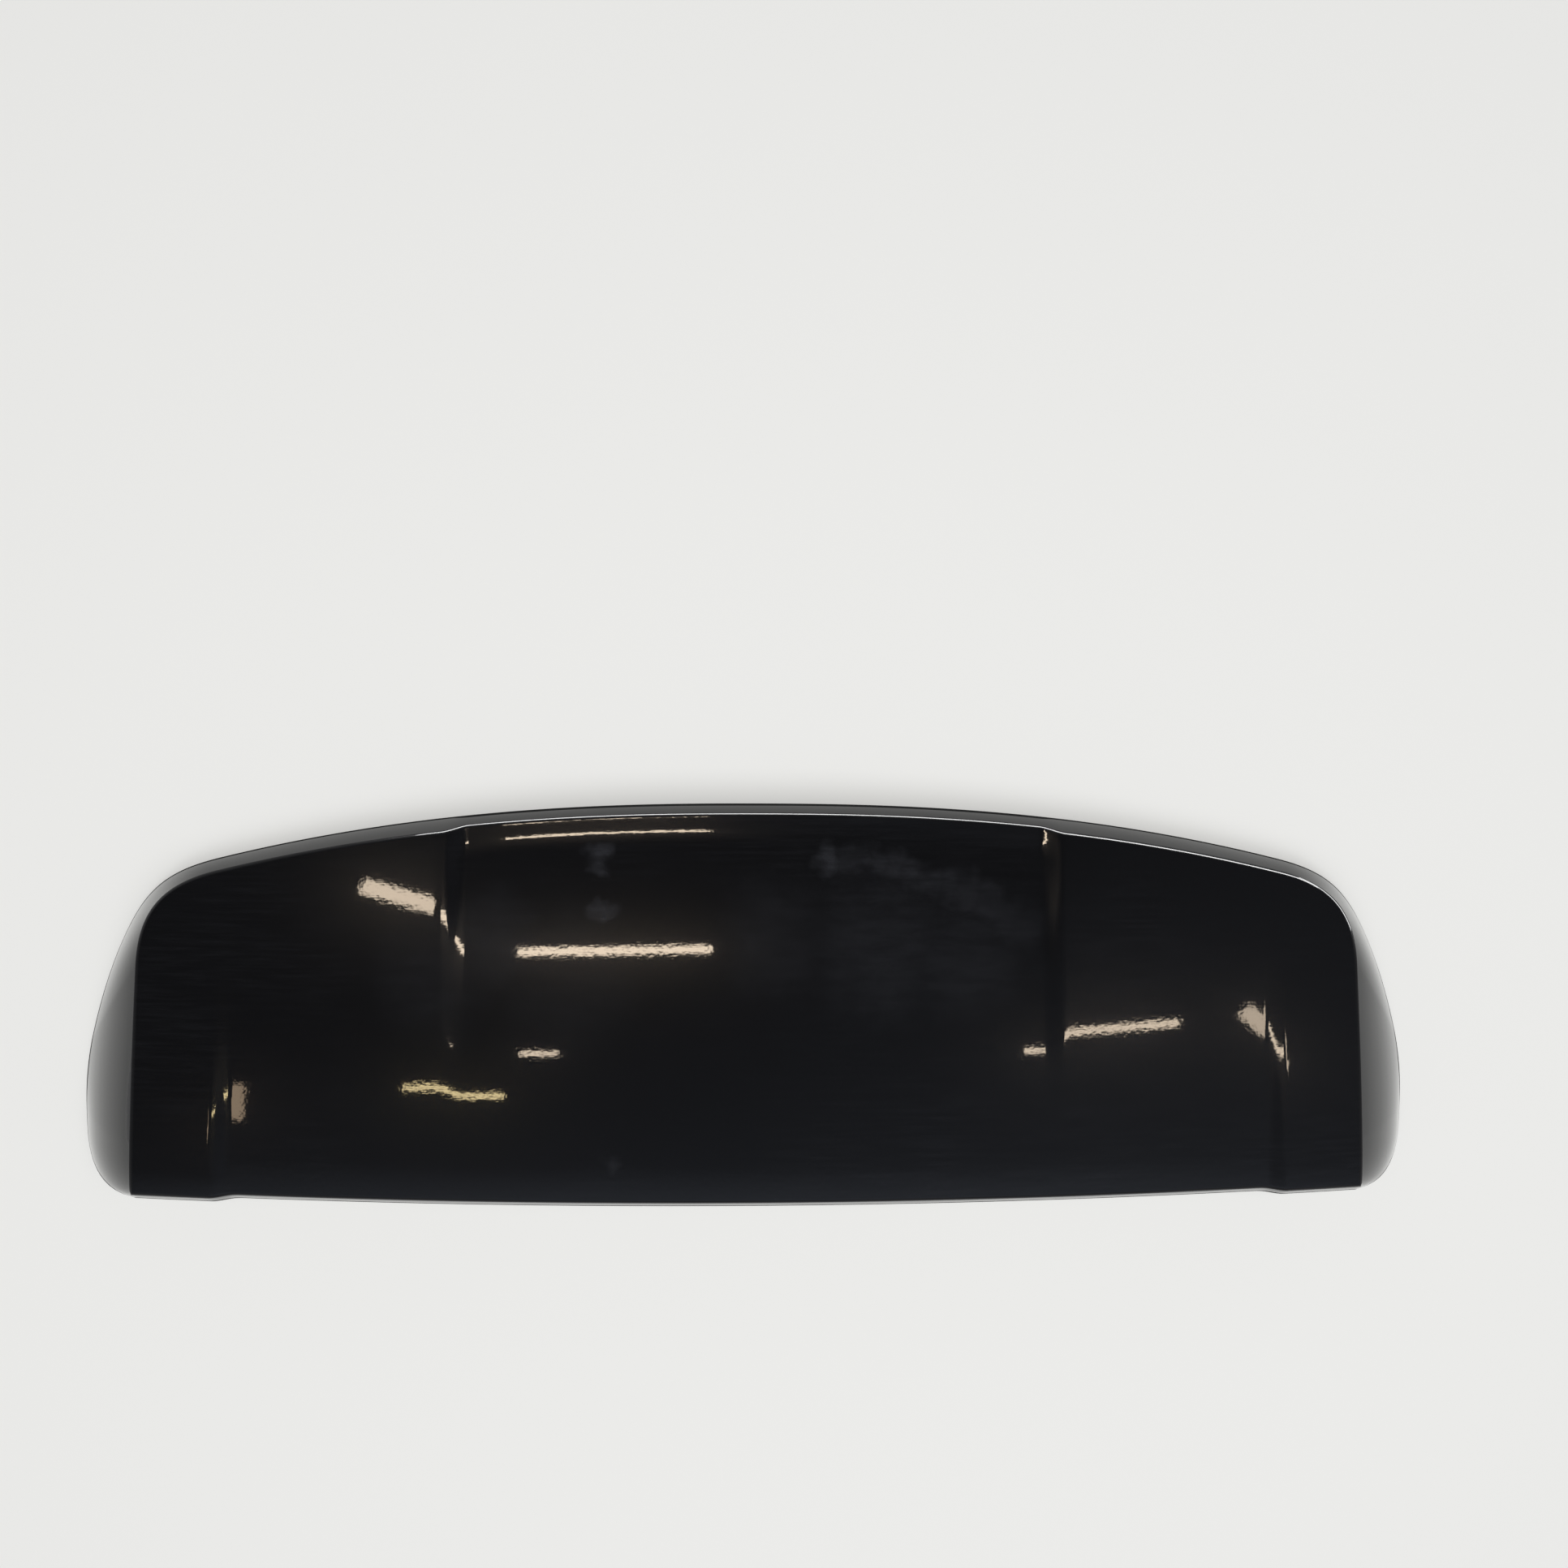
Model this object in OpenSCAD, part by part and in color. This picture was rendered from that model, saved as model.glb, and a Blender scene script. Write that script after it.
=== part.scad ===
// Tailgate spoiler: a painted outer skin bonded to a black inner moulding that carries
// the fixings. X runs across the car, Y to the rear, Z up. The spoiler lies on its flank rims.

/* [Overall] */
// Overall width across the flanks
overall_w = 1250; // [1200:1:1300]
// Length from the front edge to the rim of the trailing edge, on the centre line
length = 345; // [330:1:375]
// Height of the face above the ground at the front edge, on the centre line
front_h = 118; // [112:1:126]
// Fall of the face to the rear, in degrees
face_slope = 10; // [9:0.5:11]
// How much lower the face is at its side creases than on the centre line
crown = 30; // [24:1:34]
// Height of the arch of the face along its length
camber = 6; // [2:0.5:9]

/* [Face outline] */
// Width of the face between its side creases
face_w = 1105; // [1080:1:1120]
// How far the front edge falls back at the side creases
front_bow = 4; // [0:0.5:8]
// How far the trailing edge falls forward at the full width
trail_bow = 94; // [80:1:100]
// Power of the trailing edge's curve
trail_power = 2.37; // [2:0.01:2.6]
// Half width at which the rear corners start on the trailing edge
corner_x = 484; // [478:1:490]
// Distance from the front at which the crease starts to turn into the rear corner
crease_turn_y = 200; // [188:1:212]
// Fullness of the crease's rear corner
crease_fullness = 1.16; // [0.9:0.01:1.4]

/* [Flanks] */
// Distance from the front at which the spoiler is widest
wide_y = 48; // [40:1:58]
// Plan radius of the flank's rim behind the widest point
flank_r = 295; // [275:5:320]
// Distance from the front at which the flank's rim starts to turn into the rear corner
rim_turn_y = 120; // [108:1:130]
// Fullness of the rim's rear corner
rim_fullness = 1.33; // [1.1:0.01:1.5]
// Squareness of the flank's front end, where 1 is an ellipse and less is squarer
end_shape = 0.7; // [0.55:0.05:0.9]
// How far the flank bulges beyond a straight slope, as a share of its depth
flank_bulge = 0.07; // [0.03:0.01:0.12]
// Height of the arch of the flank's rim between its two resting points
rim_arch = 3; // [1:0.5:5]

/* [Fascia and flange] */
// Height of the fascia under the trailing edge, outside the middle field
fascia_h = 22; // [20:0.5:26]
// How far the fascia leans out from the crease to its rim
fascia_reach = 10.6; // [9:0.1:13]
// Bulge of the fascia as a share of its depth
fascia_bulge = 0.03; // [0:0.01:0.06]
// Depth of the flange along the front edge
flange_h = 14; // [12:0.5:16]
// How far the front flange leans forward
flange_reach = 8.4; // [7:0.1:9.5]

/* [Middle field] */
// Width of the sunken middle field, between the middles of its side walls
field_w = 538; // [520:1:560]
// Width of each side wall of the middle field
field_wall_w = 24; // [18:1:30]
// Depth of the middle field
field_depth = 5.5; // [4:0.5:7]
// Distance from the front at which the middle field starts to sink
field_start_y = 52; // [40:1:80]
// Length over which the middle field sinks to its full depth
field_run = 150; // [100:5:180]
// Width of the lip behind the middle field
lip_w = 16; // [12:1:20]
// How much lower the field is in front of the lip than at the lip
lip_rise = 1.6; // [0.5:0.1:2.5]

/* [Shoulders] */
// Distance between the middles of the two shoulder ramps
shoulder_span = 940; // [930:1:950]
// Width of each shoulder ramp
shoulder_ramp_w = 28; // [20:1:32]
// Rise of the shoulder at the front edge
shoulder_rise = 4; // [2:0.5:6]
// How far the front edge steps forward at the shoulder
shoulder_step = 2.5; // [1:0.5:4]
// Length over which the shoulder fades to the rear
shoulder_run = 237; // [200:1:280]

/* [Shells] */
// Wall of the outer skin
skin_wall = 3; // [2.5:0.1:3.5]
// Wall of the inner moulding
inner_wall = 2.5; // [2:0.1:3]
// Gap between the two shells at the bonding rim
bond_gap = 0.5; // [0.45:0.05:0.7]
// Distance of the inner moulding's lower edge above the skin's rim
rim_setback = 6; // [5:0.5:8]
// Height of the bonding rim
bond_rim_h = 12; // [10:0.5:14]

/* [Mounting shelf] */
// Height of the mounting shelf's underside above the ground
shelf_z = 60; // [56:1:64]
// Width of flat shelf beyond the outermost studs
shelf_margin = 40; // [35:1:50]
// Distance from the front at which the shelf is flat
shelf_front_y = 34; // [32:1:38]
// Distance from the front at which the shelf ends
shelf_back_y = 140; // [136:1:145]
// Length of the sloping panel behind the shelf
panel_run = 140; // [130:5:150]
// Width of the ledge behind the front edge
ledge_w = 12; // [11:0.5:14]

/* [Studs] */
// Distance between the left and right pairs of studs
stud_span = 780; // [740:5:800]
// Distance between the front and rear stud of each pair
stud_pitch = 50; // [44:1:54]
// Distance between the two middle studs
mid_stud_span = 260; // [220:5:300]
// Distance of the front studs from the front edge
stud_front_y = 60; // [58:1:63]
// Thread diameter of the studs
stud_d = 6; // [5:0.5:8]
// Length of the studs below the shelf
stud_len = 24; // [20:1:28]
// Chamfer on the end of the studs
stud_chamfer = 1; // [0.5:0.1:1.5]
// How far the plain neck of the studs is set in from their thread
stud_neck_cut = 0.3; // [0.2:0.05:0.5]
// Distance of the thread's start below the foam washer
thread_start = 0.5; // [0.4:0.1:1]
// Diameter of the stud's flange
stud_flange_d = 18; // [14:0.5:20]
// Thickness of the stud's flange
stud_flange_t = 2; // [1.5:0.1:3]
// Running gap round the stud in the shelf
stud_gap = 0.3; // [0.2:0.05:0.5]
// Diameter of the pad round each stud
pad_d = 30; // [28:0.5:34]
// Height of the pad below the shelf
pad_h = 3; // [2:0.5:4]
// Outer diameter of the foam washers
washer_d = 26; // [22:0.5:27]
// Thickness of the foam washers
washer_t = 5; // [3:0.5:6]
// Gap between the foam washer's hole and the stud
washer_gap = 0.5; // [0.3:0.1:1]

/* [Clips and pins] */
// Distance of the outer clips from the studs beside them, towards the middle
clip_offset = 60; // [50:1:80]
// Distance between the two inner clips
clip_span_inner = 130; // [110:5:160]
// Distance of the clip tongues from the front edge
clip_y = 62; // [58:1:66]
// Width of the moulded clip tongue
tongue_w = 16; // [14:0.5:18]
// Thickness of the moulded clip tongue
tongue_t = 3; // [2.5:0.1:4]
// Length of the clip tongue below the shelf
tongue_len = 18; // [16:0.5:22]
// Width of the spring clip
clip_w = 12; // [10:0.5:13]
// Thickness of the spring clip's steel
clip_t = 0.8; // [0.6:0.1:1]
// Bulge of each spring clip leg
clip_bulge = 3; // [2:0.25:4]
// Gap between the spring clip and the tongue
clip_gap = 0.2; // [0.1:0.05:0.3]
// Distance between the locating pins
pin_span = 520; // [500:5:540]
// Diameter of the locating pins
pin_d = 8; // [7:0.5:10]
// Length of the locating pins below the shelf
pin_len = 20; // [16:1:24]
// Diameter of the boss that each locating pin stands on
pin_boss_d = 14; // [12:0.5:18]
// Height of that boss
pin_boss_h = 8; // [6:0.5:10]

/* [Seal and bump stops] */
// Width of the front seal strip
seal_w = 6; // [5:0.5:7]
// Height of the front seal strip
seal_h = 9; // [8:0.5:12]
// Distance between the two bump stops
stop_span = 420; // [380:5:440]
// Distance of the bump stops from the front edge
stop_y = 105; // [100:1:108]
// Diameter of the bump stop's foot
stop_d = 18; // [16:0.5:22]
// Height of the bump stop's foot
stop_h = 12; // [8:0.5:14]
// Diameter of the bump stop's stem
stop_stem_d = 7; // [6:0.5:9]
// Diameter of the bump stop's retaining head
stop_head_d = 11; // [10:0.5:13]

/* [Hidden] */
half_w = overall_w / 2;
face_half_w = face_w / 2;
mid_y = length / 2 - flange_reach / 2;
// Gap above the seal strip, gap round the stem of the bump stops, and overshoot of cuts
seat = 0.3;
fit_gap = 0.3;
over = 1;
// Small length for slopes and for what may not be zero
tiny = 0.01;
$fn = 48;

// Numbers of rows from front to rear and of columns from the centre to the side
end_rows = 7;
side_rows = 7;
corner_rows = 6;
turn_row = end_rows + side_rows;
rows = turn_row + corner_rows;
field_cols = 9;
wall_cols = 4;
wing_cols = 6;
ramp_cols = 4;
corner_cols = 4;
turn_col = field_cols + wall_cols + wing_cols + ramp_cols;
half_cols = turn_col + corner_cols;
cols = 2 * half_cols;
skirt_steps = 6;

field_in = field_w / 2 - field_wall_w / 2;
field_out = field_w / 2 + field_wall_w / 2;
ramp_in = shoulder_span / 2 - shoulder_ramp_w / 2;

// Smooth step from 0 to 1
function smooth(t) = let (c = min(1, max(0, t))) c * c * (3 - 2 * c);
function mix(a, b, t) = a * (1 - t) + b * t;
function unit(v) = v / norm(v);

// 1 inside the middle field and 0 outside it
function in_field(x) = 1 - smooth((abs(x) - field_in) / field_wall_w);
// 0 inside the shoulders and 1 outside them
function on_shoulder(x) = smooth((abs(x) - ramp_in) / shoulder_ramp_w);

// Front edge and trailing edge in plan
function front_y(x) = front_bow * pow(x / face_half_w, 2) - shoulder_step * on_shoulder(x);
function rim_back_y(x) = length - trail_bow * pow(abs(x) / half_w, trail_power);
function fascia_drop(x) = fascia_h - field_depth * in_field(x);
function crease_back_y(x) = rim_back_y(x) - fascia_reach * fascia_drop(x) / fascia_h;
function rim_side_x(y) = half_w - pow(y - wide_y, 2) / (2 * flank_r);

// Height of the face
function field_sink(x, y) = in_field(x) * smooth((y - field_start_y) / field_run)
    * (field_depth + lip_rise * (1 - smooth((y - crease_back_y(x) + lip_w) / lip_w)));
function shoulder_lift(x, y) = shoulder_rise * on_shoulder(x) * (1 - smooth(y / shoulder_run));
function face_z(x, y) = front_h - y * tan(face_slope) - crown * pow(x / face_half_w, 2)
    + 4 * camber * (y / length) * (1 - y / length) - field_sink(x, y) + shoulder_lift(x, y);

// Where the lines through a with slope da and through b with slope db meet
function turn(a, b) = a[0] * b[1] - a[1] * b[0];
function meet(a, da, b, db) = a + da * turn(b - a, db) / turn(da, db);
// Point at t of a rounded corner between those lines. More fullness w makes it squarer
function corner(a, da, b, db, w, t) = let (c = meet(a, da, b, db), k = 2 * w * t * (1 - t))
    ((1 - t) * (1 - t) * a + k * c + t * t * b) / ((1 - t) * (1 - t) + k + t * t);

// Slopes of the two trailing curves where the corners start
function slope_of(lo, hi) = [1, (hi - lo) / (2 * tiny)];
crease_b = [corner_x, crease_back_y(corner_x)];
crease_db = slope_of(crease_back_y(corner_x - tiny), crease_back_y(corner_x + tiny));
crease_a = [face_half_w, crease_turn_y];
function crease_corner(t) = corner(crease_a, [0, 1], crease_b, crease_db, crease_fullness, t);
rim_corner_x = corner_x + fascia_reach / 2;
rim_b = [rim_corner_x, rim_back_y(rim_corner_x)];
rim_db = slope_of(rim_back_y(rim_corner_x - tiny), rim_back_y(rim_corner_x + tiny));
rim_a = [rim_side_x(rim_turn_y), rim_turn_y];
rim_da = [-(rim_turn_y - wide_y) / flank_r, 1];
function rim_corner(t) = corner(rim_a, rim_da, rim_b, rim_db, rim_fullness, t);

// Distance of each column from the centre line
function col_x(k) = let (a = field_cols, b = a + wall_cols, c = b + wing_cols)
    k <= a ? field_in * k / a
    : k <= b ? mix(field_in, field_out, (k - a) / wall_cols)
    : k <= c ? mix(field_out, ramp_in, (k - b) / wing_cols)
    : mix(ramp_in, corner_x, (k - c) / ramp_cols);

// The crease, as the face's boundary, and its height
function lift(p) = [p[0], p[1], face_z(p[0], p[1])];
function front_x(k) = k <= turn_col ? col_x(k) : mix(corner_x, face_half_w, (k - turn_col) / corner_cols);
function crease_front(k) = lift([front_x(k), front_y(front_x(k))]);
function crease_back(k) = k <= turn_col ? lift([col_x(k), crease_back_y(col_x(k))])
    : lift(crease_corner(1 - 0.5 * (k - turn_col) / corner_cols));
function crease_side(j) = j == 0 ? crease_front(half_cols)
    : j <= end_rows ? lift([face_half_w, wide_y * j / end_rows])
    : j <= turn_row ? lift([face_half_w, mix(wide_y, crease_turn_y, (j - end_rows) / side_rows)])
    : lift(crease_corner(0.5 * (j - turn_row) / corner_rows));

// The rim under the crease. The flanks' rims touch the ground at the widest point and near the rear corners
flank_drop = crease_side(end_rows)[2];
rear_rim_z = crease_back(turn_col)[2] - fascia_h;
rear_rest = 0.3;
function rim_corner_z(t) = rim_arch * (1 - smooth(t / rear_rest))
    + rear_rim_z * smooth((t - rear_rest) / (1 - rear_rest));
function rim_front(k) = let (c = crease_front(k)) [c[0], c[1] - flange_reach, c[2] - flange_h];
function rim_back(k) = k <= turn_col
    ? let (c = crease_back(k), x = c[0] * rim_corner_x / corner_x) [x, rim_back_y(x), c[2] - fascia_drop(x)]
    : let (t = 1 - 0.5 * (k - turn_col) / corner_cols, p = rim_corner(t)) [p[0], p[1], rim_corner_z(t)];
end_dip = 0.5;
function end_x(a) = pow(sin(a), end_shape);
function end_y(a) = pow(cos(a), end_shape);
function rim_end(j) = let (a = 90 * j / end_rows, r = end_x(a), c = crease_side(j))
    [mix(face_half_w, half_w, r), mix(wide_y, rim_front(half_cols)[1], j == end_rows ? 0 : end_y(a)),
     c[2] - mix(flange_h, flank_drop, mix(r * r, r, end_dip))];
function rim_side(j) = j <= end_rows ? rim_end(j)
    : j <= turn_row ? let (g = (j - end_rows) / side_rows, y = mix(wide_y, rim_turn_y, g))
        [rim_side_x(y), y, rim_arch * g]
    : let (t = 0.5 * (j - turn_row) / corner_rows, p = rim_corner(t)) [p[0], p[1], rim_corner_z(t)];

// A loop round the face, from the left front corner by the front, right, rear and left
function flip(p) = [-p[0], p[1], p[2]];
loop_n = 2 * cols + 2 * rows;
function around(n, front, side, back) =
    n < half_cols ? flip(front[half_cols - n])
    : n <= cols ? front[n - half_cols]
    : n <= cols + rows ? side[n - cols]
    : n <= cols + rows + half_cols ? back[half_cols - (n - cols - rows)]
    : n < 2 * cols + rows ? flip(back[n - cols - rows - half_cols])
    : flip(side[loop_n - n]);
crease_loop = let (f = [for (k = [0:half_cols]) crease_front(k)], s = [for (j = [0:rows]) crease_side(j)],
    b = [for (k = [0:half_cols]) crease_back(k)]) [for (n = [0:loop_n - 1]) around(n, f, s, b)];
rim_loop = let (f = [for (k = [0:half_cols]) rim_front(k)], s = [for (j = [0:rows]) rim_side(j)],
    b = [for (k = [0:half_cols]) rim_back(k)]) [for (n = [0:loop_n - 1]) around(n, f, s, b)];

// Point at t of the band between crease and rim. It bulges away from the straight line between them, on the
// deep flanks more than on the fascia and the flange
function band_bulge(n) = let (drop = crease_loop[n][2] - rim_loop[n][2])
    mix(fascia_bulge, flank_bulge, smooth((drop - fascia_h) / (flank_drop - fascia_h)));
function flat(v) = [v[0], v[1]];
function band(n, t) = let (a = crease_loop[n], b = rim_loop[n], reach = flat(b - a), run = norm(reach),
    out = reach / max(run, tiny), s = 4 * t * (1 - t) * band_bulge(n), drop = a[2] - b[2])
    mix(a, b, t) + s * [out[0] * drop, out[1] * drop, run];
function band_len(n) = norm(rim_loop[n] - crease_loop[n]);

// Grid over the face of a loop. Rows run from front to rear, straight in the middle and, beyond blend_x,
// following the sides
function side_share(j) = let (y0 = crease_side(0)[1])
    (crease_side(j)[1] - y0) / (crease_side(rows)[1] - y0);
// The last row but one lies at the foot of the lip
function row_share(j) = j <= turn_row ? side_share(j)
    : j < rows ? mix(side_share(turn_row), 1 - lip_w / length, (j - turn_row) / (corner_rows - 1))
    : 1;
shares = [for (j = [0:rows]) row_share(j)];
function grid(loop, blend_x) = [for (j = [0:rows]) [for (i = [0:cols])
    let (q = shares[j], front = loop[i], back = loop[2 * cols + rows - i], base = mix(front, back, q),
        right = loop[cols + j] - mix(loop[cols], loop[cols + rows], q),
        left = loop[(loop_n - j) % loop_n] - mix(loop[0], loop[2 * cols + rows], q),
        w = smooth((abs(front[0]) - blend_x) / (face_half_w - blend_x)))
    base + w * (front[0] > 0 ? right : left)]];

// Normals of a grid and of a loop band
function cross_n(a, b) = unit(cross(a, b));
function grid_normal(g, i, j) = cross_n(g[j][min(cols, i + 1)] - g[j][max(0, i - 1)],
    g[min(rows, j + 1)][i] - g[max(0, j - 1)][i]);
function loop_normal(loops, n, s) = cross_n(
    loops[s][(n + 1) % loop_n] - loops[s][(n + loop_n - 1) % loop_n],
    loops[max(0, s - 1)][n] - loops[min(len(loops) - 1, s + 1)][n]);
function mitre(a, b) = (a + b) / (1 + a * b);

// Row and column of a loop vertex, and the loop vertex of a row and column on the grid's edge
function loop_row(n) = n <= cols ? 0
    : n <= cols + rows ? n - cols
    : n <= 2 * cols + rows ? rows
    : loop_n - n;
function loop_col(n) = n <= cols ? n
    : n <= cols + rows ? cols
    : n <= 2 * cols + rows ? 2 * cols + rows - n
    : 0;
function on_edge(i, j) = i == 0 || i == cols || j == 0 || j == rows;
function edge_index(i, j) = j == 0 ? i
    : i == cols ? cols + j
    : j == rows ? 2 * cols + rows - i
    : (loop_n - j) % loop_n;

// The two triangles of a quad, cut from its first corner or from its second
function split(q, first) = first
    ? [[q[0], q[1], q[2]], [q[0], q[2], q[3]]]
    : [[q[0], q[1], q[3]], [q[1], q[2], q[3]]];

// A moulding of even wall: a face grid and a skirt of loops round it, each with its inner side.
// side is 1 for a face that looks up, with the wall below it, and -1 for one that looks down
module moulding(g, loops, wall, side, flat_rim) {
    last = len(loops) - 1;
    face_n = [for (j = [0:rows]) [for (i = [0:cols]) side * grid_normal(g, i, j)]];
    skirt_n = [for (s = [0:last]) [for (n = [0:loop_n - 1]) side * loop_normal(loops, n, s)]];
    outer = [for (r = g) each r, for (s = [1:last]) each loops[s]];
    inner = [for (j = [0:rows]) for (i = [0:cols]) g[j][i] - wall * (on_edge(i, j)
            ? mitre(face_n[j][i], skirt_n[0][edge_index(i, j)]) : face_n[j][i]),
        for (s = [1:last]) for (n = [0:loop_n - 1]) let (v = skirt_n[s][n], f = v[0] * v[0] + v[1] * v[1])
            loops[s][n] - wall * (s == last && flat_rim ? [v[0], v[1], 0] / f : v)];
    count = len(outer);
    width = cols + 1;
    // Index of a skirt vertex, with the first loop lying on the grid's boundary
    ring = [for (s = [0:last]) [for (n = [0:loop_n - 1])
        s == 0 ? loop_row(n) * width + loop_col(n) : (rows + 1) * width + (s - 1) * loop_n + n]];
    // Quads of the face and of the skirt, each cut along the diagonal that its mirror image has
    face_quads = [for (j = [0:rows - 1]) for (i = [0:cols - 1]) let (a = j * width + i, b = a + width)
        split([a, a + 1, b + 1, b], i < half_cols)];
    skirt_quads = [for (s = [0:last - 1]) for (n = [0:loop_n - 1]) let (m = (n + 1) % loop_n)
        split([ring[s][m], ring[s][n], ring[s + 1][n], ring[s + 1][m]],
            n < half_cols || n >= half_cols + loop_n / 2)];
    tris = [for (q = concat(face_quads, skirt_quads)) each q];
    rim = [for (n = [0:loop_n - 1]) let (m = (n + 1) % loop_n, a = ring[last][n], b = ring[last][m])
        each [[b, a, a + count], [b, a + count, b + count]]];
    back = [for (t = tris) [t[0] + count, t[2] + count, t[1] + count]];
    faces = concat(tris, back, rim);
    flipped = [for (t = faces) [t[2], t[1], t[0]]];
    polyhedron(points = concat(outer, inner), faces = side > 0 ? flipped : faces);
}

// Painted outer skin
skin_loops = [for (s = [0:skirt_steps]) [for (n = [0:loop_n - 1]) band(n, s / skirt_steps)]];
module upper_shell() {
    face = [for (r = grid(crease_loop, field_out)) [for (p = r) lift(p)]];
    color([0.02, 0.02, 0.023]) moulding(face, skin_loops, skin_wall, 1, true);
}

// Inner moulding: its rim follows the skin's inner side and its panel rises to the mounting shelf. Where the
// band is short, as at the fascia, the rim takes a share of it and leaves the corner clear
rim_share = 0.3;
rim_clear = 6;
band_step = 0.02;
function band_normal(n, t) = cross_n(
    band((n + 1) % loop_n, t) - band((n + loop_n - 1) % loop_n, t),
    band(n, t - band_step) - band(n, t + band_step));
function inside(n, t) = band(n, t) - (skin_wall + bond_gap) * band_normal(n, t);
function low_share(n) = 1 - min(rim_setback, rim_share * band_len(n)) / band_len(n);
function high_share(n) = 1 - min(rim_setback + bond_rim_h, band_len(n) - rim_clear) / band_len(n);
inner_low = [for (n = [0:loop_n - 1]) inside(n, low_share(n))];
inner_high = [for (n = [0:loop_n - 1]) inside(n, high_share(n))];
shelf_half_w = stud_span / 2 + shelf_margin;
function on_shelf(x, y) = smooth((y - ledge_w) / (shelf_front_y - ledge_w))
    * (1 - smooth((y - shelf_back_y) / panel_run))
    * (1 - smooth((abs(x) - shelf_half_w) / (face_half_w - shelf_half_w)));
function panel(g) = [for (r = g) [for (p = r) [p[0], p[1], mix(p[2], shelf_z, on_shelf(p[0], p[1]))]]];

// Where the fixings sit on the shelf
stud_spots = [
    [-stud_span / 2, stud_front_y], [-stud_span / 2, stud_front_y + stud_pitch],
    [stud_span / 2, stud_front_y], [stud_span / 2, stud_front_y + stud_pitch],
    [-mid_stud_span / 2, stud_front_y + stud_pitch / 2],
    [mid_stud_span / 2, stud_front_y + stud_pitch / 2]
];
outer_clip_x = stud_span / 2 - clip_offset;
clip_spots = [
    [-outer_clip_x, clip_y], [-clip_span_inner / 2, clip_y],
    [clip_span_inner / 2, clip_y], [outer_clip_x, clip_y]
];
stop_spots = [[-stop_span / 2, stop_y], [stop_span / 2, stop_y]];
pin_spots = [[-pin_span / 2, stud_front_y], [pin_span / 2, stud_front_y]];
// Heights of the shelf's top and of the pads' underside, and how deep its hanging parts are rooted in it
shelf_top = shelf_z + inner_wall;
pad_z = shelf_z - pad_h;
root = inner_wall / 2;

// Parts of the inner moulding that hang from the shelf's underside, at z = 0
module tongue() {
    tip = 0.6;
    rotate([90, 0, 90]) translate([0, 0, -tongue_w / 2]) linear_extrude(tongue_w) polygon([
        [-tongue_t / 2, root], [-tongue_t / 2, tip - tongue_len], [tip - tongue_t / 2, -tongue_len],
        [tongue_t / 2 - tip, -tongue_len], [tongue_t / 2, tip - tongue_len], [tongue_t / 2, root]
    ]);
}
module tongue_gussets() {
    half = tongue_w / 2;
    for (side = [-1, 1]) translate([side * (half + inner_wall / 2), 0, 0]) rotate([90, 0, 90])
        translate([0, 0, -inner_wall / 2]) linear_extrude(inner_wall)
            polygon([[-half, root], [-half, 0], [0, -tongue_len / 2], [half, 0], [half, root]]);
}
module locating_pin() {
    tip = pin_d / 4;
    boss = pin_boss_d / 2;
    foot = boss + pin_boss_h / 2;
    translate([0, 0, -pin_boss_h]) cylinder(d = pin_boss_d, h = pin_boss_h + root);
    translate([0, 0, tip - pin_len]) cylinder(d = pin_d, h = pin_len - tip);
    translate([0, 0, -pin_len]) cylinder(d1 = pin_d - 2 * tip, d2 = pin_d, h = tip);
    for (a = [0, 90]) rotate([90, 0, a]) translate([0, 0, -inner_wall / 2]) linear_extrude(inner_wall)
        polygon([[-foot, root], [-foot, 0], [-boss, over - pin_boss_h], [boss, over - pin_boss_h],
            [foot, 0], [foot, root]]);
}
module pad() {
    translate([0, 0, -pad_h]) cylinder(d = pad_d, h = pad_h + root);
}
module shelf_hole(p, d) {
    translate([p[0], p[1], pad_z - over]) cylinder(d = d, h = shelf_top - pad_z + 2 * over);
}
module lower_shell() {
    color([0.06, 0.06, 0.065]) difference() {
        union() {
            moulding(panel(grid(inner_low, ramp_in)), [inner_low, inner_high], inner_wall, -1, false);
            for (p = concat(stud_spots, stop_spots)) translate([p[0], p[1], shelf_z]) pad();
            for (p = clip_spots) translate([p[0], p[1], shelf_z]) {
                tongue();
                tongue_gussets();
            }
            for (p = pin_spots) translate([p[0], p[1], shelf_z]) locating_pin();
        }
        for (p = stud_spots) shelf_hole(p, stud_d + 2 * stud_gap);
        for (p = stop_spots) shelf_hole(p, stop_stem_d + 2 * fit_gap);
    }
}

// Flanged stud, pressed in from above, with a plain neck, a thread and a chamfered end
module stud(n) {
    tip = shelf_z - stud_len;
    thread_z = pad_z - washer_t - thread_start;
    color([0.62, 0.6, 0.52]) translate([stud_spots[n][0], stud_spots[n][1], 0]) {
        translate([0, 0, shelf_top]) cylinder(d = stud_flange_d, h = stud_flange_t);
        translate([0, 0, thread_z]) cylinder(d = stud_d - 2 * stud_neck_cut, h = shelf_top - thread_z);
        translate([0, 0, tip + stud_chamfer]) cylinder(d = stud_d, h = thread_z - tip - stud_chamfer);
        translate([0, 0, tip]) cylinder(d1 = stud_d - 2 * stud_chamfer, d2 = stud_d, h = stud_chamfer);
    }
}

// Foam sealing washer under the stud's pad
module foam_washer(n) {
    hole = stud_d + 2 * washer_gap;
    color([0.16, 0.16, 0.17]) translate([stud_spots[n][0], stud_spots[n][1], pad_z - washer_t]) difference() {
        cylinder(d = washer_d, h = washer_t);
        translate([0, 0, -over]) cylinder(d = hole, h = washer_t + 2 * over);
    }
}

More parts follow.
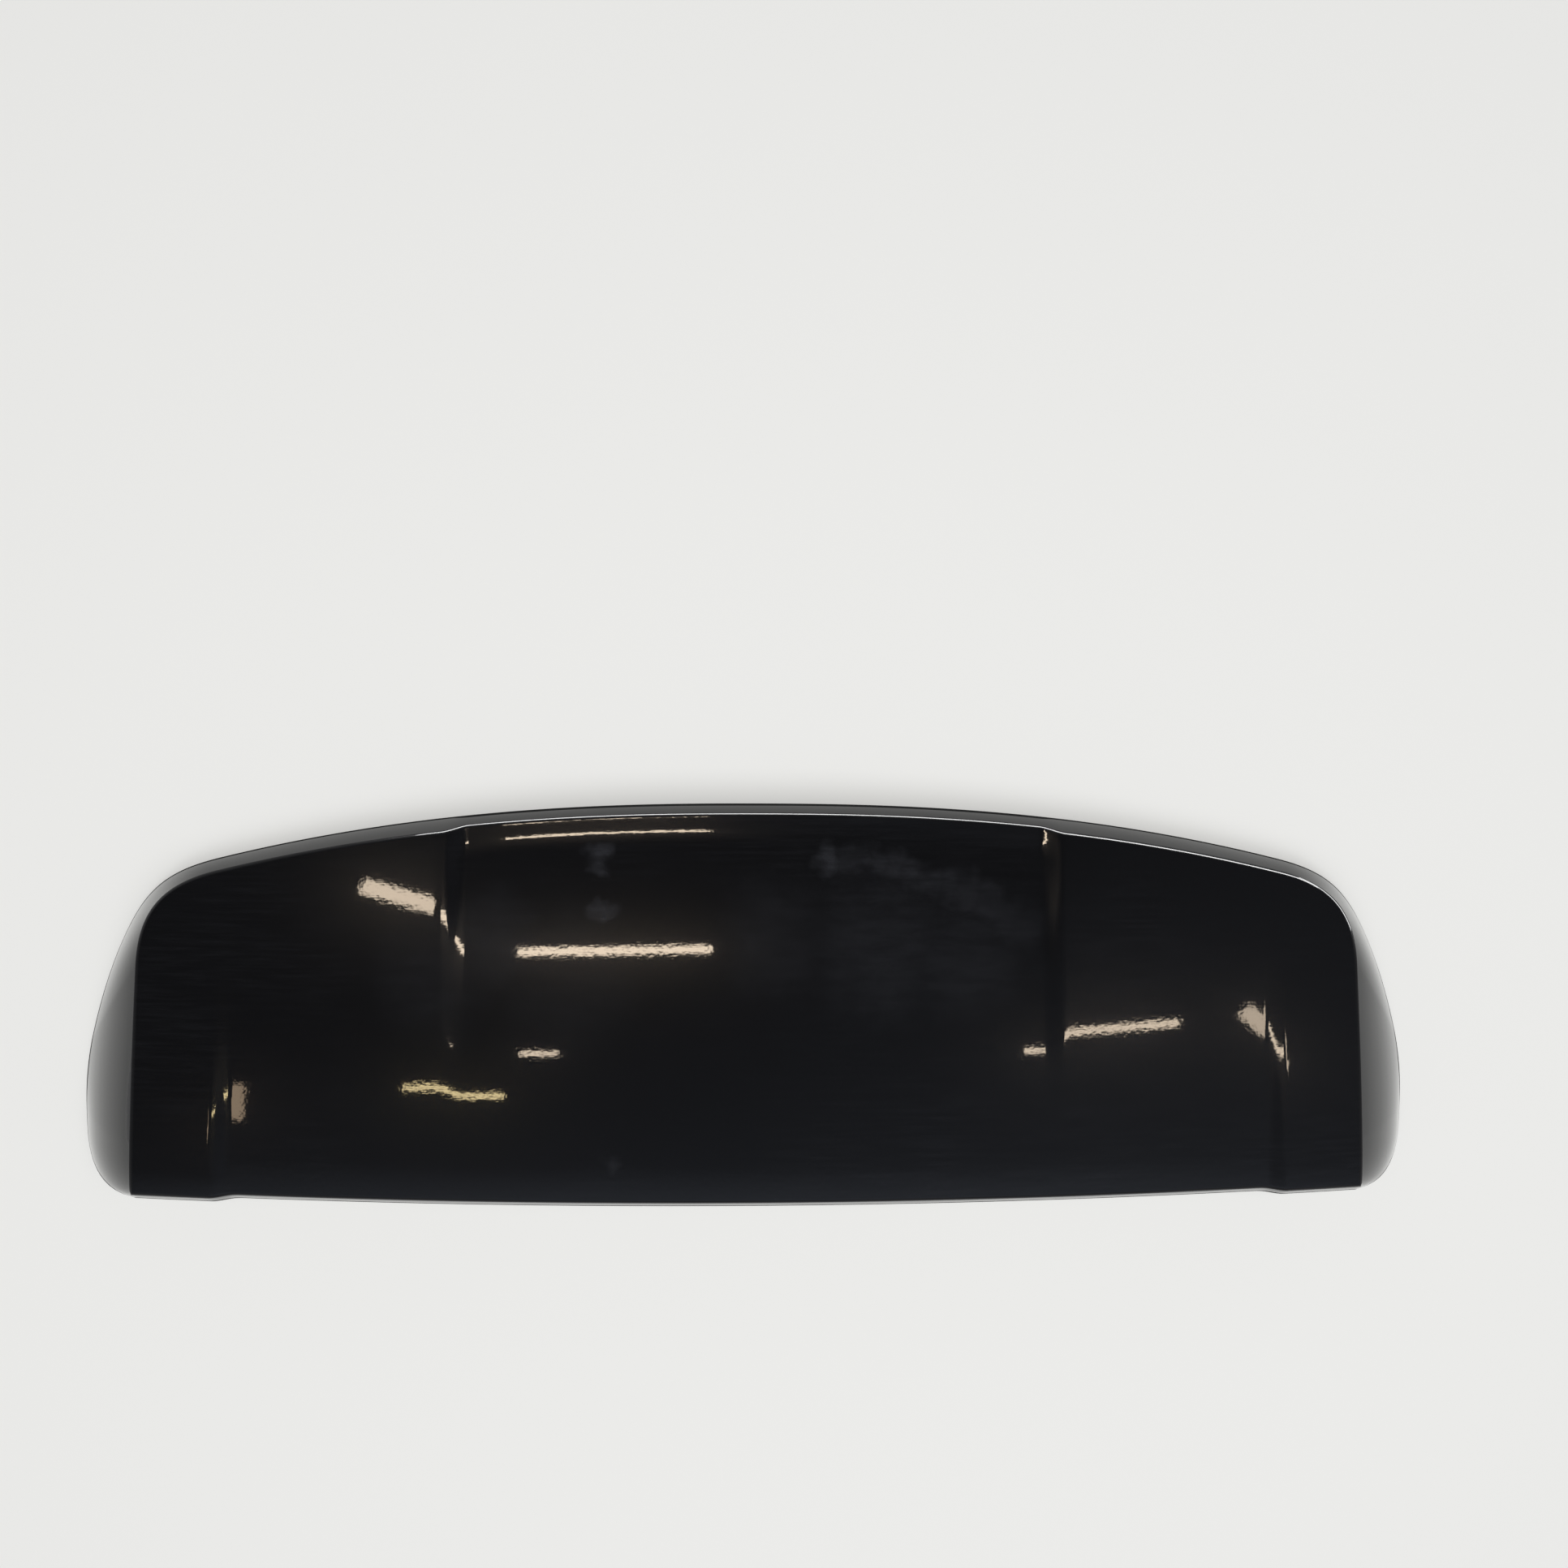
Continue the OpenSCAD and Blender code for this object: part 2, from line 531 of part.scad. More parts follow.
// Sprung steel clip, folded round the tongue. Its legs bend at these shares of the tongue's length
clip_bends = [0.8, 0.45, 0.38, 0.15];
module spring_clip(n) {
    a = tongue_t / 2 + clip_gap;
    leg = [[a, -tongue_len - clip_gap], [a, -clip_bends[0] * tongue_len],
        [a + clip_bulge, -clip_bends[1] * tongue_len], [a + clip_bulge, -clip_bends[2] * tongue_len],
        [a, -clip_bends[3] * tongue_len]];
    skin = [for (i = [len(leg) - 1:-1:0]) leg[i] + [clip_t, i == 0 ? -clip_t : 0]];
    half = concat(leg, skin);
    mirrored = [for (i = [len(half) - 1:-1:0]) [-half[i][0], half[i][1]]];
    color([0.7, 0.7, 0.72]) translate([clip_spots[n][0], clip_spots[n][1], shelf_z]) rotate([90, 0, 90])
        translate([0, 0, -clip_w / 2]) linear_extrude(clip_w) polygon(concat(half, mirrored));
}

// Rubber bump stop, pulled through the shelf by its head
module bump_stop(n) {
    round = stop_d / 8;
    neck = stop_stem_d / 2;
    head = stop_head_d / 2;
    head_rim = 1;
    foot_z = pad_z - stop_h;
    top_z = shelf_top + head;
    color([0.05, 0.05, 0.05]) translate([stop_spots[n][0], stop_spots[n][1], 0]) rotate_extrude() polygon([
        [0, foot_z], [stop_d / 2 - round, foot_z], [stop_d / 2, foot_z + round], [stop_d / 2, pad_z],
        [neck, pad_z], [neck, shelf_top], [head, shelf_top], [head, shelf_top + head_rim],
        [neck, top_z], [0, top_z]
    ]);
}

// Foam strip under the ledge, following the front edge and narrower at its foot
seal_start = 1.5;
seal_taper = [1.5, 0.5];
module front_seal() {
    g = panel(grid(inner_low, ramp_in));
    span = [corner_cols + ramp_cols:cols - corner_cols - ramp_cols];
    function under(n, s) = g[0][n] + unit(g[1][n] - g[0][n]) * s - [0, 0, seat];
    ring = [for (n = span) let (a = under(n, seal_start), b = under(n, seal_start + seal_w))
        [a, b, b - [0, seal_taper[1], seal_h], a + [0, seal_taper[0], -seal_h]]];
    count = len(ring);
    points = [for (r = ring) each r];
    sides = [for (k = [0:count - 2]) for (e = [0:3]) let (f = (e + 1) % 4, a = 4 * k, b = 4 * k + 4)
        each [[a + e, b + f, b + e], [a + e, a + f, b + f]]];
    cap = [[0, 1, 2], [0, 2, 3]];
    ends = concat([[3, 2, 1], [3, 1, 0]], [for (t = cap) [for (v = t) v + 4 * (count - 1)]]);
    color([0.09, 0.09, 0.09]) polyhedron(points = points, faces = concat(sides, ends));
}

// Everything is drawn with the middle of the spoiler's length at Y = 0
module place() {
    translate([0, -mid_y, 0]) children();
}
place() upper_shell();
place() lower_shell();
place() front_seal();
place() stud(0);  // stud_left_front
place() stud(1);  // stud_left_rear
place() stud(2);  // stud_right_front
place() stud(3);  // stud_right_rear
place() stud(4);  // stud_middle_left
place() stud(5);  // stud_middle_right
place() foam_washer(0);  // foam_washer_left_front
place() foam_washer(1);  // foam_washer_left_rear
place() foam_washer(2);  // foam_washer_right_front
place() foam_washer(3);  // foam_washer_right_rear
place() foam_washer(4);  // foam_washer_middle_left
place() foam_washer(5);  // foam_washer_middle_right
place() spring_clip(0);  // spring_clip_left_outer
place() spring_clip(1);  // spring_clip_left_inner
place() spring_clip(2);  // spring_clip_right_inner
place() spring_clip(3);  // spring_clip_right_outer
place() bump_stop(0);  // bump_stop_left
place() bump_stop(1);  // bump_stop_right
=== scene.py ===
"""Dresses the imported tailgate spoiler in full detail, and sets its floor, light and camera."""
import math

import bmesh
import bpy
import numpy as np
from mathutils import Matrix, Vector


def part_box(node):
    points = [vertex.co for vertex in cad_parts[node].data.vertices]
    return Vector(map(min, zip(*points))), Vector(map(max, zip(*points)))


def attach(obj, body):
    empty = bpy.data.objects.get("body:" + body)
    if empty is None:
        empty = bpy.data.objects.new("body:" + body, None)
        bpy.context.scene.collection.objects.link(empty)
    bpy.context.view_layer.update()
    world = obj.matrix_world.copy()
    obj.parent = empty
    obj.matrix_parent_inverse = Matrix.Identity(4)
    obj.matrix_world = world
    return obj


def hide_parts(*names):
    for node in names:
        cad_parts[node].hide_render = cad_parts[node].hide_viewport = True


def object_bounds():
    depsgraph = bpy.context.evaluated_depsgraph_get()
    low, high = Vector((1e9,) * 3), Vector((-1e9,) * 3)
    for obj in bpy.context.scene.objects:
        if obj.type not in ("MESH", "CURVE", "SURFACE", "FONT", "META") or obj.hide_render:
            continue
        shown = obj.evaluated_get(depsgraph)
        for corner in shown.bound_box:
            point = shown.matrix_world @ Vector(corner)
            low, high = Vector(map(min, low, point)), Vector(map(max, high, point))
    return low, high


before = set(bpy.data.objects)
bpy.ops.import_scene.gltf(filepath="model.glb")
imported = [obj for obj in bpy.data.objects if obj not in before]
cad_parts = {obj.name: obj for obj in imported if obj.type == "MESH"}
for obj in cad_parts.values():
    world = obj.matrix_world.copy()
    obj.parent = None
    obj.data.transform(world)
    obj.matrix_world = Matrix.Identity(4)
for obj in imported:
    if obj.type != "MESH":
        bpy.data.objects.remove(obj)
cad_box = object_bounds()
MM = 0.001

# Camera, as fitted to the photograph's outline: millimetres in the row frame, and radians
IMAGE = 1932
FOCAL_PX = 1935.0
SENSOR_MM = 36.0
AIM_MM = (24.6, 198.5, 80.0)
CAMERA_DISTANCE_MM = 1385.7
CAMERA_TILT = 0.1000255
CAMERA_SIDE = -0.0363983
CAMERA_ROLL = 0.0062476

# Sizes of the skin in millimetres. Y runs from the front edge, as in the part's source. Only the growth and the
# lip of the field and the lift of the shoulders differ from it, since they follow what the paint mirrors
HALF_W = cad_box[1].x / MM
FLANGE_REACH = 8.4
LENGTH = (cad_box[1].y - cad_box[0].y) / MM - FLANGE_REACH
MID_Y = LENGTH / 2 - FLANGE_REACH / 2
FRONT_H = cad_box[1].z / MM
FACE_SLOPE = math.tan(math.radians(10))
CROWN = 30
CAMBER = 6
FACE_HALF = 552.5
FRONT_BOW = 4
TRAIL_BOW = 94
TRAIL_POWER = 2.37
CORNER_X = 484
CREASE_TURN_Y = 200
CREASE_FULLNESS = 1.16
WIDE_Y = 48
FLANK_R = 295
RIM_TURN_Y = 120
RIM_FULLNESS = 1.33
END_SHAPE = 0.7
END_DIP = 0.5
FLANK_BULGE = 0.07
RIM_ARCH = 3
REAR_REST = 0.3
FASCIA_H = 22
FASCIA_REACH = 10.6
FASCIA_BULGE = 0.03
FLANGE_H = 14
FIELD_HALF = 269
FIELD_WALL = 24
FIELD_DEPTH = 5.5
FIELD_GROWTH = 2.7
LIP_W = 28
LIP_RISE = 3.5
SHOULDER_HALF = 470
SHOULDER_RAMP = 28
SHOULDER_RISE = 4
SHOULDER_STEP = 2.5
SHOULDER_RUN = 237
LIFT_IN = 463
LIFT_RAMP = 20
SKIN_WALL = 3

# What only the painted skin has: radii along the crease and the rim, and an edge without paint along the rim,
# darkened as painted contact shadow. The edge's width goes with the length of the band between crease and rim
CREASE_ROUND = 2.2
CREASE_WEIGHT = 0.35
RIM_ROUND = 0.7
RIM_WEIGHT = 0.75
BAND_LENGTHS, BARE_SHADOW_WIDTHS = (17, 22, 30, 60), (5.5, 3.5, 3.5, 5.5)

FIELD_IN = FIELD_HALF - FIELD_WALL / 2
FIELD_OUT = FIELD_HALF + FIELD_WALL / 2
RAMP_IN = SHOULDER_HALF - SHOULDER_RAMP / 2
RIM_CORNER_X = CORNER_X + FASCIA_REACH / 2

# Steps of the skin's mesh: columns from the centre outwards, rows from front to rear, and loops round the edge
FIELD_STEPS, WALL_STEPS, WING_STEPS, RAMP_STEPS, CORNER_STEPS = 40, 14, 26, 14, 18
END_STEPS, SIDE_STEPS, TURN_STEPS, LIP_STEPS = 14, 24, 20, 12
ROUND_STEPS, BAND_STEPS, EDGE_STEPS, RIM_STEPS = 4, 14, 2, 2
# Where the closer steps over the lip begin: on the rear corner's curve, and as a share of the face's length
LIP_TURN = 0.42
LIP_SHARE = 1 - 1.4 * LIP_W / LENGTH


def smooth(t):
    t = np.clip(t, 0, 1)
    return t * t * (3 - 2 * t)


def mix(a, b, t):
    return a * (1 - t) + b * t


def in_field(x):
    return 1 - smooth((np.abs(x) - FIELD_IN) / FIELD_WALL)


def on_shoulder(x):
    return smooth((np.abs(x) - RAMP_IN) / SHOULDER_RAMP)


def front_y(x):
    return FRONT_BOW * (x / FACE_HALF) ** 2 - SHOULDER_STEP * on_shoulder(x)


def rim_back_y(x):
    return LENGTH - TRAIL_BOW * (np.abs(x) / HALF_W) ** TRAIL_POWER


def fascia_drop(x):
    return FASCIA_H - FIELD_DEPTH * in_field(x)


def crease_back_y(x):
    return rim_back_y(x) - FASCIA_REACH * fascia_drop(x) / FASCIA_H


def rim_side_x(y):
    return HALF_W - (y - WIDE_Y) ** 2 / (2 * FLANK_R)


def face_z(x, y):
    """Height of the painted face."""
    up = np.clip((y - crease_back_y(x) + LIP_W) / LIP_W, 0, 1)
    lip = LIP_RISE * (1 - up * up * (2 - up))
    sink = in_field(x) * (y / LENGTH).clip(0) ** FIELD_GROWTH * (FIELD_DEPTH + lip)
    lift = SHOULDER_RISE * smooth((np.abs(x) - LIFT_IN) / LIFT_RAMP) * (1 - smooth(y / SHOULDER_RUN))
    arch = 4 * CAMBER * (y / LENGTH) * (1 - y / LENGTH)
    return FRONT_H - y * FACE_SLOPE - CROWN * (x / FACE_HALF) ** 2 + arch - sink + lift


def corner_curve(a, slope_a, b, slope_b, fullness, t):
    """Rounded corner from a to b, which leaves along slope_a and arrives along slope_b."""
    turn = slope_a[0] * slope_b[1] - slope_a[1] * slope_b[0]
    meet = a + slope_a * ((b[0] - a[0]) * slope_b[1] - (b[1] - a[1]) * slope_b[0]) / turn
    t = np.asarray(t, float)[:, None]
    pull = 2 * fullness * t * (1 - t)
    return ((1 - t) ** 2 * a + pull * meet + t * t * b) / ((1 - t) ** 2 + pull + t * t)


def slope_of(curve, x):
    step = 0.01
    return np.array([1.0, (curve(x + step) - curve(x - step)) / (2 * step)])


def crease_corner(t):
    """Plan of the crease's right rear corner, from the side at 0 to the rear at 1."""
    start = np.array([FACE_HALF, CREASE_TURN_Y], float)
    end = np.array([CORNER_X, crease_back_y(CORNER_X)])
    return corner_curve(start, np.array([0.0, 1.0]), end, slope_of(crease_back_y, CORNER_X), CREASE_FULLNESS, t)


def rim_corner(t):
    """Plan of the rim's right rear corner, from the side at 0 to the rear at 1."""
    start = np.array([rim_side_x(RIM_TURN_Y), RIM_TURN_Y])
    away = np.array([-(RIM_TURN_Y - WIDE_Y) / FLANK_R, 1.0])
    end = np.array([RIM_CORNER_X, rim_back_y(RIM_CORNER_X)])
    return corner_curve(start, away, end, slope_of(rim_back_y, RIM_CORNER_X), RIM_FULLNESS, t)


def lifted(xy):
    """Points of a plan on the face."""
    return np.column_stack([xy, face_z(xy[:, 0], xy[:, 1])])


def steps(*runs):
    """Joins runs of (start, end, count) into one list of stations."""
    out = [np.array([runs[0][0]], float)]
    for start, end, count in runs:
        out.append(np.linspace(start, end, count + 1)[1:])
    return np.concatenate(out)


# Right half of the crease and of the rim under it, front and back from the centre and side from the front
plain_x = steps((0, FIELD_IN, FIELD_STEPS), (FIELD_IN, FIELD_OUT, WALL_STEPS), (FIELD_OUT, RAMP_IN, WING_STEPS),
                (RAMP_IN, CORNER_X, RAMP_STEPS))
corner_t = np.linspace(0, 0.5, CORNER_STEPS + 1)
front_x = np.concatenate([plain_x, np.linspace(CORNER_X, FACE_HALF, CORNER_STEPS + 1)[1:]])
turn_t = steps((0, LIP_TURN, TURN_STEPS), (LIP_TURN, 0.5, LIP_STEPS))[1:]
side_y = steps((front_y(FACE_HALF), WIDE_Y, END_STEPS), (WIDE_Y, CREASE_TURN_Y, SIDE_STEPS))

crease_front = lifted(np.column_stack([front_x, front_y(front_x)]))
crease_back = np.vstack([lifted(np.column_stack([plain_x, crease_back_y(plain_x)])),
                         lifted(crease_corner(1 - corner_t[1:]))])
crease_side = np.vstack([lifted(np.column_stack([np.full(len(side_y), FACE_HALF), side_y])),
                         lifted(crease_corner(turn_t))])

flank_drop = crease_side[END_STEPS, 2]
rear_rim_z = float(face_z(CORNER_X, crease_back_y(CORNER_X))) - FASCIA_H


def rim_corner_z(t):
    return RIM_ARCH * (1 - smooth(t / REAR_REST)) + rear_rim_z * smooth((t - REAR_REST) / (1 - REAR_REST))


def rim_end(angle):
    """Rim of the flank's front end, from under the crease's front corner to the widest point."""
    r, s = np.sin(angle) ** END_SHAPE, np.cos(angle).clip(0) ** END_SHAPE
    s[-1] = 0
    return np.column_stack([mix(FACE_HALF, HALF_W, r), mix(WIDE_Y, front_y(FACE_HALF) - FLANGE_REACH, s),
                            crease_side[:END_STEPS + 1, 2] - mix(FLANGE_H, flank_drop, mix(r * r, r, END_DIP))])


rim_front = crease_front - [0, FLANGE_REACH, FLANGE_H]
rim_plain_x = plain_x * RIM_CORNER_X / CORNER_X
rim_plain_z = crease_back[:len(plain_x), 2] - fascia_drop(plain_x)
rim_back = np.vstack([
    np.column_stack([rim_plain_x, rim_back_y(rim_plain_x), rim_plain_z]),
    np.column_stack([rim_corner(1 - corner_t[1:]), rim_corner_z(1 - corner_t[1:])])])
side_share = np.linspace(0, 1, SIDE_STEPS + 1)[1:]
rim_side_y = mix(WIDE_Y, RIM_TURN_Y, side_share)
rim_side = np.vstack([
    rim_end(np.linspace(0, math.pi / 2, END_STEPS + 1)),
    np.column_stack([rim_side_x(rim_side_y), rim_side_y, RIM_ARCH * side_share]),
    np.column_stack([rim_corner(turn_t), rim_corner_z(turn_t)])])

HALF_COLS = len(front_x) - 1
COLS = 2 * HALF_COLS
ROWS = len(crease_side) - 1
LOOP = 2 * (COLS + ROWS)


def around(front, side, back):
    """Loop from the left front corner by the front, the right side, the rear and the left side."""
    left = np.array([-1, 1, 1])
    return np.vstack([(front[1:] * left)[::-1], front, side[1:], back[:-1][::-1], (back[1:-1] * left),
                      (side[1:] * left)[::-1]])


crease = around(crease_front, crease_side, crease_back)
rim = around(rim_front, rim_side, rim_back)
assert len(crease) == len(rim) == LOOP


def band(t):
    """Loop at share t of the way down from the crease to the rim. It bulges, and most on the deep flanks."""
    t = np.asarray(t, float)
    t = t[:, None] if t.ndim else t
    drop = (crease - rim)[:, 2:]
    bulge = mix(FASCIA_BULGE, FLANK_BULGE, smooth((drop - FASCIA_H) / (flank_drop - FASCIA_H)))
    reach = (rim - crease)[:, :2]
    run = np.linalg.norm(reach, axis=1, keepdims=True)
    away = reach / np.maximum(run, 0.01)
    return mix(crease, rim, t) + 4 * t * (1 - t) * bulge * np.hstack([away * drop, run])


def unit(v):
    return v / np.maximum(np.linalg.norm(v, axis=-1, keepdims=True), 1e-9)


def plan_normals(loop):
    """Outward mitre in plan at each point of a loop."""
    edge = np.roll(loop, -1, axis=0)[:, :2] - loop[:, :2]
    out = unit(np.column_stack([edge[:, 1], -edge[:, 0]]))
    before = np.roll(out, 1, axis=0)
    return (out + before) / (1 + (out * before).sum(1, keepdims=True))


def rounded(a, c, b, count, weight):
    """Points between a and b of an edge at c that is rounded, flatter in the middle for a small weight."""
    out = []
    for t in np.linspace(0, 1, count + 1)[1:-1]:
        pull = 2 * weight * t * (1 - t)
        out.append(((1 - t) ** 2 * a + pull * c + t * t * b) / ((1 - t) ** 2 + pull + t * t))
    return out


# Loops of the outer side, from the face's edge over the rounded crease and down the band to the rim's radius. The
# paint ends at the loop PAINTED; below it the bare edge carries painted contact shadow
band_length = np.linalg.norm(rim - crease, axis=1)
face_edge = crease.copy()
face_edge[:, :2] -= CREASE_ROUND * plan_normals(crease)
face_edge[:, 2] = face_z(face_edge[:, 0], face_edge[:, 1])
t_top = CREASE_ROUND / band_length
# Where the bare edge with its painted contact shadow begins
t_shadow_edge = 1 - np.interp(band_length, BAND_LENGTHS, BARE_SHADOW_WIDTHS) / band_length
t_low = 1 - RIM_ROUND / band_length
outer = [face_edge, *rounded(face_edge, crease, band(t_top), ROUND_STEPS, CREASE_WEIGHT)]
outer += [band(mix(t_top, t_shadow_edge, s)) for s in np.linspace(0, 1, BAND_STEPS + 1)]
PAINTED = len(outer) - 1
outer += [band(mix(t_shadow_edge, t_low, s)) for s in np.linspace(0, 1, EDGE_STEPS + 1)[1:]]


def side_shares():
    """Share of the face's length at which each row crosses the middle."""
    side = face_edge[COLS:COLS + ROWS + 1, 1]
    straight = (side[:END_STEPS + SIDE_STEPS + 1] - side[0]) / (side[-1] - side[0])
    turn = steps((straight[-1], LIP_SHARE, TURN_STEPS), (LIP_SHARE, 1, LIP_STEPS))[1:]
    return np.concatenate([straight, turn])


def face_grid(loop):
    """Rows and columns inside a loop, straight in the middle and following the sides."""
    share = side_shares()[:, None, None]
    front, back = loop[:COLS + 1], loop[COLS + ROWS:2 * COLS + ROWS + 1][::-1]
    right = loop[COLS:COLS + ROWS + 1]
    left = np.vstack([loop[0:1], loop[2 * COLS + ROWS:][::-1]])
    base = mix(front[None], back[None], share)
    weight = smooth((np.abs(front[:, 0]) - FIELD_OUT) / (FACE_HALF - FIELD_OUT))[None, :, None]
    bend_right = (right - mix(right[0], right[-1], share[:, 0]))[:, None]
    bend_left = (left - mix(left[0], left[-1], share[:, 0]))[:, None]
    grid = base + weight * np.where((front[:, 0] > 0)[None, :, None], bend_right, bend_left)
    grid[..., 2] = face_z(grid[..., 0], grid[..., 1])
    return grid


def face_normals(grid):
    """Normals of the face itself, not of its mesh, so that the gloss shows no facets."""
    x, y, step = grid[..., 0], grid[..., 1], 0.05
    slope_x = (face_z(x + step, y) - face_z(x - step, y)) / (2 * step)
    slope_y = (face_z(x, y + step) - face_z(x, y - step)) / (2 * step)
    return unit(np.stack([-slope_x, -slope_y, np.ones_like(x)], -1))


def loop_normals(loops):
    stack = np.array(loops)
    along = np.roll(stack, -1, axis=1) - np.roll(stack, 1, axis=1)
    return unit(np.cross(along, -np.gradient(stack, axis=0)))


def loop_of(grid):
    """The loop round a grid's edge, in the order of around()."""
    return np.vstack([grid[0], grid[1:, -1], grid[-1, :-1][::-1], grid[1:-1, 0][::-1]])


def new_mesh(name, points, normals, quads):
    """Smooth mesh object from points in millimetres, with the frame's origin at mid length."""
    mesh = bpy.data.meshes.new(name)
    points = (np.asarray(points) - [0, MID_Y, 0]) * MM
    mesh.from_pydata([tuple(p) for p in points], [], [tuple(q) for q in quads])
    bm = bmesh.new()
    bm.from_mesh(mesh)
    bmesh.ops.recalc_face_normals(bm, faces=bm.faces)
    bm.to_mesh(mesh)
    bm.free()
    mesh.shade_smooth()
    mesh.normals_split_custom_set_from_vertices([tuple(n) for n in normals])
    obj = bpy.data.objects.new(name, mesh)
    bpy.context.scene.collection.objects.link(obj)
    return obj


def make_skin():
    """The painted skin. Its inner side bears no paint, nor does the edge along its rim, which is darkened as
    painted shadow.
    """
    grid = face_grid(face_edge)
    face_n = face_normals(grid)
    # The inner side lies one wall further in. Its top edge is where the face's and the band's inner sides meet
    band_n = loop_normals(outer[ROUND_STEPS:])
    edge_n, top_n = loop_of(face_n), band_n[0]
    corner = crease - SKIN_WALL * (edge_n + top_n) / (1 + (edge_n * top_n).sum(1, keepdims=True))
    flat_n = unit(band_n[-1] * [1, 1, 0])
    rim_out, rim_in = rim - RIM_ROUND * flat_n, rim - (SKIN_WALL - RIM_ROUND) * flat_n
    inner_edge = rim - SKIN_WALL * flat_n
    inner_band = [band(t) + mix(corner - crease, inner_edge - rim, t[:, None])
                  for t in (mix(0, t_low, s) for s in np.linspace(1, 0, BAND_STEPS))]
    loops = outer + rounded(outer[-1], rim, rim_out, RIM_STEPS, RIM_WEIGHT) + [rim_out, rim_in]
    loops += rounded(rim_in, inner_edge, inner_band[0], RIM_STEPS, RIM_WEIGHT) + inner_band
    inner_grid = grid - SKIN_WALL * face_n
    loop_n = loop_normals(loops + [loop_of(inner_grid)])
    loop_n[ROUND_STEPS:len(outer)] = band_n
    width = COLS + 1
    index = np.arange((ROWS + 1) * width).reshape(ROWS + 1, width)
    first = index.size
    inner_index = index + first + (len(loops) - 1) * LOOP
    rings = [loop_of(index[..., None])[:, 0]]
    rings += [np.arange(LOOP) + first + n * LOOP for n in range(len(loops) - 1)]
    rings.append(loop_of(inner_index[..., None])[:, 0])
    points = np.vstack([grid.reshape(-1, 3), *loops[1:], inner_grid.reshape(-1, 3)])
    normals = np.vstack([face_n.reshape(-1, 3), *loop_n[1:-1], -face_n.reshape(-1, 3)])
    # The materials' numbers are 0 for paint, 1 for the bare inner side and 2 for the bare edge with painted
    # shadow
    quads, numbers = [], []
    for table, number in ((index, 0), (inner_index, 1)):
        corners = [table[:-1, :-1], table[:-1, 1:], table[1:, 1:], table[1:, :-1]]
        quads += np.stack(corners, -1).reshape(-1, 4).tolist()
        numbers += [number] * (ROWS * COLS)
    for n, (upper, lower) in enumerate(zip(rings[:-1], rings[1:])):
        quads += np.stack([upper, np.roll(upper, -1), np.roll(lower, -1), lower], -1).tolist()
        numbers += [2 if PAINTED <= n < PAINTED + EDGE_STEPS + RIM_STEPS else int(n >= PAINTED)] * LOOP
    skin = new_mesh("painted_skin", points, normals, quads)
    for material in (PAINT, PLASTIC, BARE_EDGE_SHADOW):
        skin.data.materials.append(material)
    skin.data.polygons.foreach_set("material_index", numbers)
    return skin


# Materials
def node_material(name):
    material = bpy.data.materials.new(name)
    material.use_nodes = True
    tree = material.node_tree
    return material, tree, tree.nodes["Principled BSDF"]


def add(tree, kind, inputs=None, **settings):
    """Adds a node, sets its properties and inputs, and links inputs that are sockets."""
    node = tree.nodes.new(kind)
    for key, value in settings.items():
        setattr(node, key, value)
    for key, value in (inputs or {}).items():
        if isinstance(value, bpy.types.NodeSocket):
            tree.links.new(value, node.inputs[key])
        else:
            node.inputs[key].default_value = value
    return node


def placed(tree, scale):
    """Object coordinates stretched by scale."""
    coords = add(tree, "ShaderNodeTexCoord").outputs["Object"]
    return add(tree, "ShaderNodeMapping", {"Vector": coords, "Scale": scale}).outputs["Vector"]


def noise(tree, scale, detail=2.0, rough=0.5, stretch=(1, 1, 1)):
    return add(tree, "ShaderNodeTexNoise", {"Vector": placed(tree, stretch), "Scale": scale, "Detail": detail,
                                            "Roughness": rough}).outputs["Fac"]


def spread(tree, value, low, high, to_low, to_high):
    """Maps value from the range low to high to another range, and clamps it there."""
    return add(tree, "ShaderNodeMapRange", {"Value": value, "From Min": low, "From Max": high, "To Min": to_low,
                                            "To Max": to_high}).outputs["Result"]


def times(tree, a, b):
    return add(tree, "ShaderNodeMath", {0: a, 1: b}, operation="MULTIPLY").outputs[0]


def plus(tree, a, b, use_clamp=False):
    return add(tree, "ShaderNodeMath", {0: a, 1: b}, operation="ADD", use_clamp=use_clamp).outputs[0]


def larger(tree, a, b):
    return add(tree, "ShaderNodeMath", {0: a, 1: b}, operation="MAXIMUM").outputs[0]


def bumped(tree, height, distance, strength=1.0, normal=None):
    inputs = {"Height": height, "Distance": distance, "Strength": strength}
    if normal is not None:
        inputs["Normal"] = normal
    return add(tree, "ShaderNodeBump", inputs).outputs["Normal"]


def two_colours(tree, share, first, second):
    node = add(tree, "ShaderNodeMix", data_type="RGBA")
    tree.links.new(share, node.inputs[0])
    node.inputs[6].default_value = (*first, 1)
    node.inputs[7].default_value = (*second, 1)
    return node.outputs[2]


# Paler marks and haze in the paint's colour: place in millimetres in the row frame, radius and strength
MARKS_MM = [
    # Spots
    ((-141, 133), 14, 0.9), ((-139, 120), 9, 0.7), ((-138, 85), 12, 0.7), ((-126, -134), 9, 0.4),
    ((-8, 60), 14, 0.3), ((66, 127), 18, 0.85),
    # An arc
    ((84, 129), 14, 0.4), ((98, 129), 14, 0.5), ((112, 126), 16, 0.55), ((126, 121), 17, 0.55),
    ((142, 115), 18, 0.5), ((158, 109), 19, 0.45), ((175, 103), 20, 0.4), ((192, 96), 21, 0.38),
    ((208, 88), 22, 0.36), ((224, 79), 23, 0.3), ((240, 68), 24, 0.25),
    # Broad haze
    ((110, 56), 75, 0.3), ((185, 42), 60, 0.26), ((20, 62), 60, 0.24), ((-232, 58), 48, 0.32),
    ((-285, 32), 60, 0.22), ((-170, 30), 70, 0.16)]


